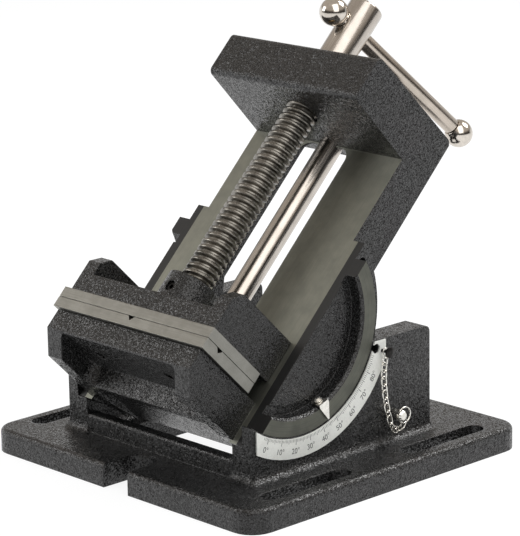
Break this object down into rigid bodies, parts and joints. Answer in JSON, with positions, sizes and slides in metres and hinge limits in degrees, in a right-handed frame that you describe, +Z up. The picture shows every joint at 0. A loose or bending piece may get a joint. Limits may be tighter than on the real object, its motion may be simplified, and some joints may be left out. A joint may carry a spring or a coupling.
{
  "type": "tilting drill press vise",
  "caption": "Tilting drill press vise with a cradle base, angle scale, lead screw and bar handle, set at 45 degrees with its jaws closed.",
  "frame": {"origin": "centre of the whole vise's footprint at the base's underside, at rest", "axes": "+X from the jaws to the handle, +Y along the tilt axis away from the angle scale, +Z up"},
  "size_m": [0.2698, 0.222, 0.2563],
  "materials": {
    "hammered_paint": "hammered dark grey paint with machined faces left bare",
    "ground_steel": "ground",
    "screw_steel": "blackened",
    "scale_plate": "satin with black printed marks",
    "chrome_plate": "polished",
    "oiled_thread": "cut thread, oiled",
    "bronze_nut": "turned"
  },
  "bodies": {
    "base": {"base_casting": "hammered_paint", "angle_scale": "scale_plate", "chain_anchor_screw": "screw_steel", "chain_link_01": "chrome_plate", "chain_link_02": "chrome_plate", "chain_link_03": "chrome_plate", "chain_link_04": "chrome_plate", "chain_link_05": "chrome_plate", "chain_link_06": "chrome_plate", "chain_link_07": "chrome_plate", "chain_link_08": "chrome_plate", "chain_link_09": "chrome_plate", "chain_link_10": "chrome_plate", "chain_link_11": "chrome_plate", "chain_link_12": "chrome_plate", "chain_link_13": "chrome_plate", "chain_link_14": "chrome_plate", "chain_link_15": "chrome_plate"},
    "clamp_washer": {"tilt_clamp_washer": "screw_steel"},
    "clamp": {"tilt_clamp_screw": "screw_steel"},
    "pin": {"lock_pin": "screw_steel", "pin_split_ring": "chrome_plate"},
    "bed": {"tilting_bed": "hammered_paint", "angle_pointer": "chrome_plate", "pointer_screw": "screw_steel", "fixed_jaw_plate": "ground_steel", "fixed_plate_screw_near": "screw_steel", "fixed_plate_screw_far": "screw_steel", "guide_rod": "ground_steel", "rod_set_screw": "screw_steel", "lead_nut": "bronze_nut"},
    "jaw": {"movable_jaw": "hammered_paint", "movable_jaw_plate": "ground_steel", "movable_plate_screw_near": "screw_steel", "movable_plate_screw_far": "screw_steel", "keeper_plate": "ground_steel", "keeper_screw_near": "screw_steel", "keeper_screw_far": "screw_steel", "screw_retainer": "screw_steel"},
    "screw": {"lead_screw": "oiled_thread", "screw_head": "chrome_plate", "screw_head_pin": "chrome_plate"},
    "bar": {"handle_bar": "chrome_plate", "handle_ball_upper": "chrome_plate", "handle_ball_lower": "chrome_plate"}
  },
  "joints": [
    {"name": "tilt", "type": "hinge", "parent": "base", "child": "bed", "pos_m": [-0.06538, 0, 0.09465], "axis": [0, -1, 0], "range_deg": [-45, 45]},
    {"name": "jaw_slide", "type": "slide", "parent": "bed", "child": "jaw", "axis": [0.7071, 0, 0.7071], "range_m": [0, 0.114]},
    {"name": "screw_turn", "type": "hinge", "parent": "jaw", "child": "screw", "pos_m": [0.05681, 0, 0.23578], "axis": [0.7071, 0, 0.7071], "range_deg": [0, 9690]},
    {"name": "bar_slide", "type": "slide", "parent": "screw", "child": "bar", "axis": [-0.6929, 0.1994, 0.6929], "range_m": [0, 0.083]},
    {"name": "lock_pin_slide", "type": "slide", "parent": "base", "child": "pin", "axis": [0, -1, 0], "range_m": [0, 0.018]},
    {"name": "clamp_washer_slide", "type": "slide", "parent": "base", "child": "clamp_washer", "axis": [0, 1, 0], "range_m": [0, 0.0026]},
    {"name": "clamp_turn", "type": "hinge", "parent": "clamp_washer", "child": "clamp", "pos_m": [-0.04593, 0.0775, 0.03105], "axis": [0, 1, 0], "range_deg": [0, 720]}
  ],
  "couplings": [
    {"joint": "jaw_slide", "follows": "screw_turn", "m_per_rad": 0.00067375},
    {"joint": "clamp_washer_slide", "follows": "clamp_turn", "m_per_rad": 0.00019894}
  ]
}
